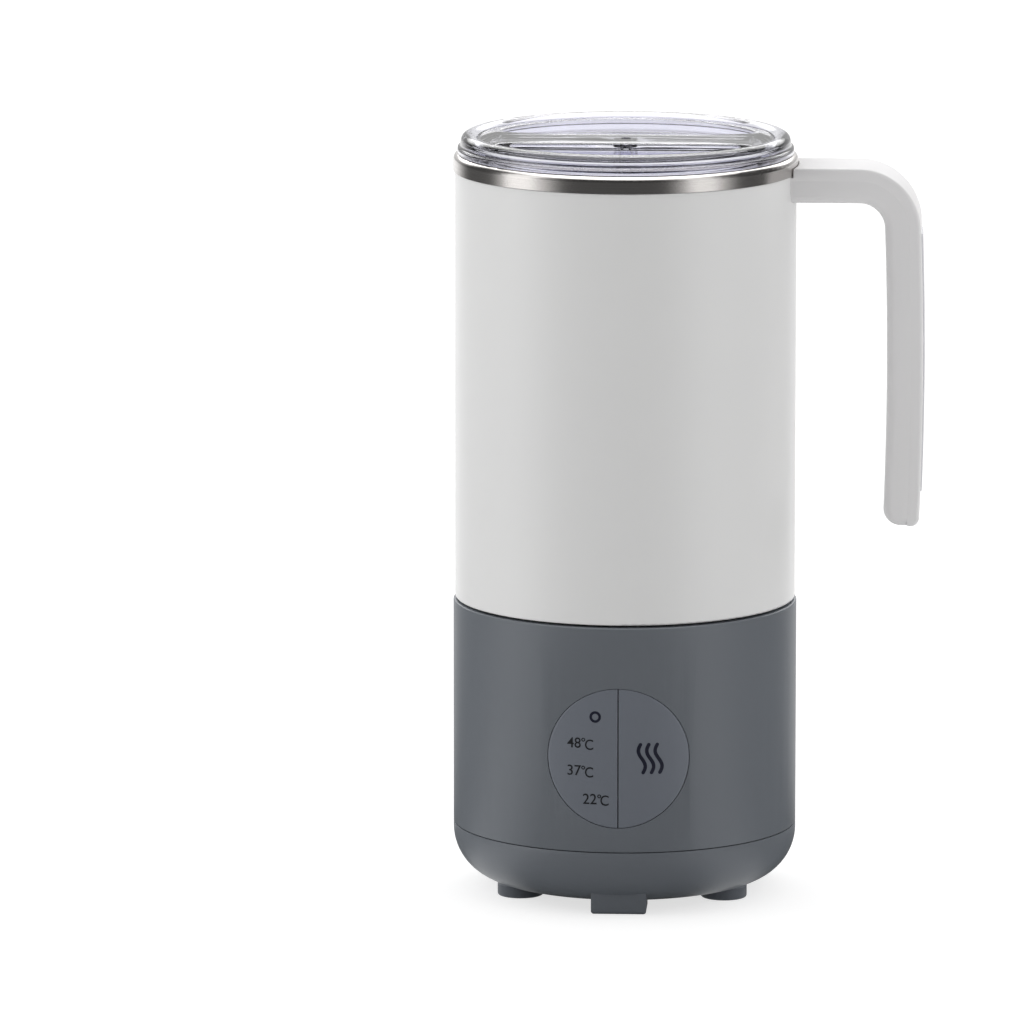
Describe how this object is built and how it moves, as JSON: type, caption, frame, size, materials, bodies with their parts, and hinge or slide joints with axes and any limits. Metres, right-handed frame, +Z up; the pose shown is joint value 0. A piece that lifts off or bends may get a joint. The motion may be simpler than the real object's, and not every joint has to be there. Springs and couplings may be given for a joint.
{
  "type": "baby formula maker",
  "caption": "Round formula maker: grey heating and mixing base with a round control panel, white jug with steel pot and side handle, clear push-in lid.",
  "frame": {"origin": "on the standing surface, under the middle of the whole outline, handle included", "axes": "+Z up, the control panel faces -Y, the handle stands out along +X"},
  "size_m": [0.1369, 0.1, 0.2218],
  "materials": {
    "jug_white": "satin white moulded plastic",
    "base_grey": "fine satin slate-grey moulded plastic",
    "button_grey": "satin blue-grey moulded plastic with printed marks",
    "clear_lid": "clear polished plastic",
    "pot_steel": "brushed stainless steel",
    "fastener_steel": "zinc-plated screws and pins",
    "heater_metal": "cast aluminium with a turned top face",
    "motor_metal": "plated steel",
    "magnet_metal": "nickel-plated magnets",
    "grey_silicone": "matt silicone",
    "foot_rubber": "matt slate-grey rubber",
    "strip_rubber": "soft grey grip strip",
    "dark_plastic": "dark moulded plastic",
    "whisk_plastic": "pale food-safe plastic",
    "circuit_board": "glass-fibre circuit board",
    "lamp_plastic": "small indicator lamps",
    "plunger_plastic": "pale moulded plungers"
  },
  "bodies": {
    "base": {"base_cover": "base_grey", "base_housing": "base_grey", "button_switches": "dark_plastic", "capacitors": "dark_plastic", "control_board": "circuit_board", "control_frame": "dark_plastic", "control_frame_screws": "fastener_steel", "cover_screws": "fastener_steel", "deck": "dark_plastic", "deck_seal": "grey_silicone", "field_magnets": "magnet_metal", "heater_plate": "heater_metal", "heater_relay": "motor_metal", "heater_screws": "fastener_steel", "heater_seal": "grey_silicone", "heating_element": "heater_metal", "inlet_pins": "fastener_steel", "magnet_window": "dark_plastic", "main_board": "circuit_board", "main_board_screws": "fastener_steel", "motor_can": "motor_metal", "motor_damper": "grey_silicone", "motor_end_cap": "dark_plastic", "motor_plate": "fastener_steel", "motor_plate_screws": "fastener_steel", "motor_screws": "fastener_steel", "power_inlet": "dark_plastic", "rubber_feet": "foot_rubber", "status_lamps": "lamp_plastic", "temperature_sensor": "heater_metal", "thermal_cutout": "heater_metal", "transformer": "dark_plastic", "window_seal": "grey_silicone"},
    "rotor": {"motor_shaft": "fastener_steel", "armature": "motor_metal", "magnet_carrier": "dark_plastic", "drive_magnets": "magnet_metal"},
    "temperature_key": {"temperature_button": "button_grey", "temperature_plunger": "plunger_plastic"},
    "start_key": {"start_button": "button_grey", "start_plunger": "plunger_plastic"},
    "jug": {"jug_shell": "jug_white", "inner_pot": "pot_steel", "rim_gasket": "grey_silicone", "jug_base_ring": "dark_plastic", "jug_screws": "fastener_steel", "pot_seal": "grey_silicone", "spindle_pin": "pot_steel", "handle_body": "jug_white", "handle_cover": "jug_white", "handle_strip": "strip_rubber", "handle_bracket": "pot_steel", "handle_screws": "fastener_steel"},
    "lid": {"lid_shell": "clear_lid", "lid_seal": "grey_silicone"},
    "whisk_bush": {"whisk_sleeve": "whisk_plastic"},
    "whisk": {"whisk_wheel": "whisk_plastic", "whisk_magnets": "magnet_metal", "whisk_plate": "whisk_plastic"}
  },
  "joints": [
    {"name": "jug_lift", "type": "slide", "parent": "base", "child": "jug", "axis": [0, 0, 1], "range_m": [0, 0.15]},
    {"name": "lid_lift", "type": "slide", "parent": "jug", "child": "lid", "axis": [0, 0, 1], "range_m": [0, 0.08]},
    {"name": "whisk_lift", "type": "slide", "parent": "jug", "child": "whisk_bush", "axis": [0, 0, 1], "range_m": [0, 0.09]},
    {"name": "rotor_spin", "type": "hinge", "parent": "base", "child": "rotor", "pos_m": [-0.01825, 0, 0.05], "axis": [0, 0, 1], "continuous": true},
    {"name": "whisk_spin", "type": "hinge", "parent": "whisk_bush", "child": "whisk", "pos_m": [-0.01825, 0, 0.09], "axis": [0, 0, 1], "continuous": true},
    {"name": "temperature_press", "type": "slide", "parent": "base", "child": "temperature_key", "axis": [0, 1, 0], "range_m": [0, 0.0008], "stiffness_N_per_m": 400},
    {"name": "start_press", "type": "slide", "parent": "base", "child": "start_key", "axis": [0, 1, 0], "range_m": [0, 0.0008], "stiffness_N_per_m": 400}
  ],
  "couplings": [
    {"joint": "whisk_spin", "follows": "rotor_spin", "ratio": 1}
  ]
}
